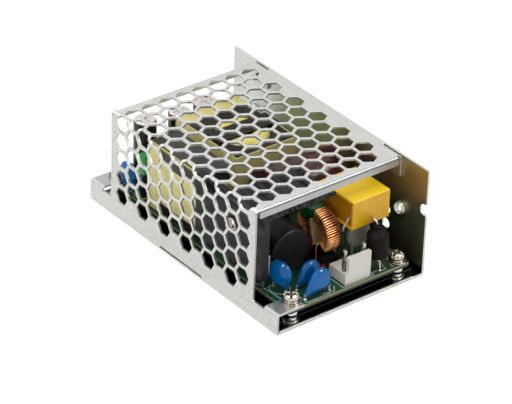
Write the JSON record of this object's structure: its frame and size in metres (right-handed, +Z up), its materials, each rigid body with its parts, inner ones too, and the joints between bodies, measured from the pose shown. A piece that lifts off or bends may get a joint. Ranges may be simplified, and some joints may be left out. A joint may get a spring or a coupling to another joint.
{
  "type": "enclosed switching power supply",
  "caption": "Open-ended power supply: folded steel chassis and honeycomb-perforated cover around a circuit board with mains header, choke, transformers and capacitors.",
  "frame": {"origin": "middle of the base's underside", "axes": "+X towards the mains input end, +Y towards the solid side wall, +Z up out of the base"},
  "size_m": [0.1034, 0.062, 0.04],
  "materials": {
    "plated_steel": "zinc plated sheet",
    "nickel": "nickel plated",
    "tin": "tin plated",
    "black_film": "glossy insulating film",
    "green_board": "solder mask",
    "black_anodised": "black anodised",
    "black_plastic": "moulded",
    "ferrite": "ground ferrite",
    "copper": "enamelled copper wire",
    "yellow_tape": "polyester tape",
    "maroon_sleeve": "shrunk sleeve",
    "black_sleeve": "shrunk sleeve",
    "green_core": "coated ring core",
    "cream_plastic": "board divider",
    "yellow_plastic": "moulded box",
    "black_rubber": "shrunk tubing",
    "grey_coating": "dipped coating",
    "blue_coating": "dipped coating",
    "green_coating": "dipped coating",
    "white_nylon": "moulded nylon",
    "bare_aluminium": "bare can"
  },
  "bodies": {
    "root": {"chassis": "plated_steel", "cover": "plated_steel", "cover_screws": "nickel", "floor_insulator": "black_film", "board_standoffs": "nickel", "circuit_board": "green_board", "flat_washers": "nickel", "spring_washers": "nickel", "board_screws": "nickel", "heatsink": "black_anodised", "heatsink_screw": "nickel", "heatsink_foot": "tin", "transistor": "black_plastic", "transistor_tab": "tin", "transistor_leads": "tin", "transformer_core": "ferrite", "transformer_winding": "copper", "transformer_tape": "yellow_tape", "transformer_bobbin": "black_plastic", "transformer_pins": "tin", "inductor_core": "ferrite", "inductor_winding": "yellow_tape", "inductor_tape": "yellow_tape", "inductor_bobbin": "black_plastic", "inductor_pins": "tin", "bulk_capacitor": "maroon_sleeve", "bulk_capacitor_leads": "tin", "primary_capacitor": "black_sleeve", "primary_capacitor_leads": "tin", "choke_core": "green_core", "choke_windings": "copper", "choke_divider": "cream_plastic", "choke_base": "black_plastic", "choke_pins": "tin", "line_capacitor": "yellow_plastic", "line_capacitor_leads": "tin", "fuse": "black_rubber", "fuse_leads": "tin", "thermistor": "grey_coating", "thermistor_leads": "tin", "disc_capacitors": "blue_coating", "disc_capacitor_leads": "tin", "film_capacitors": "green_coating", "film_capacitor_leads": "tin", "mains_header": "white_nylon", "mains_pins": "tin", "output_capacitors": "black_sleeve", "output_cans": "bare_aluminium", "output_capacitor_leads": "tin", "output_header": "white_nylon", "output_pins": "tin"}
  },
  "joints": []
}
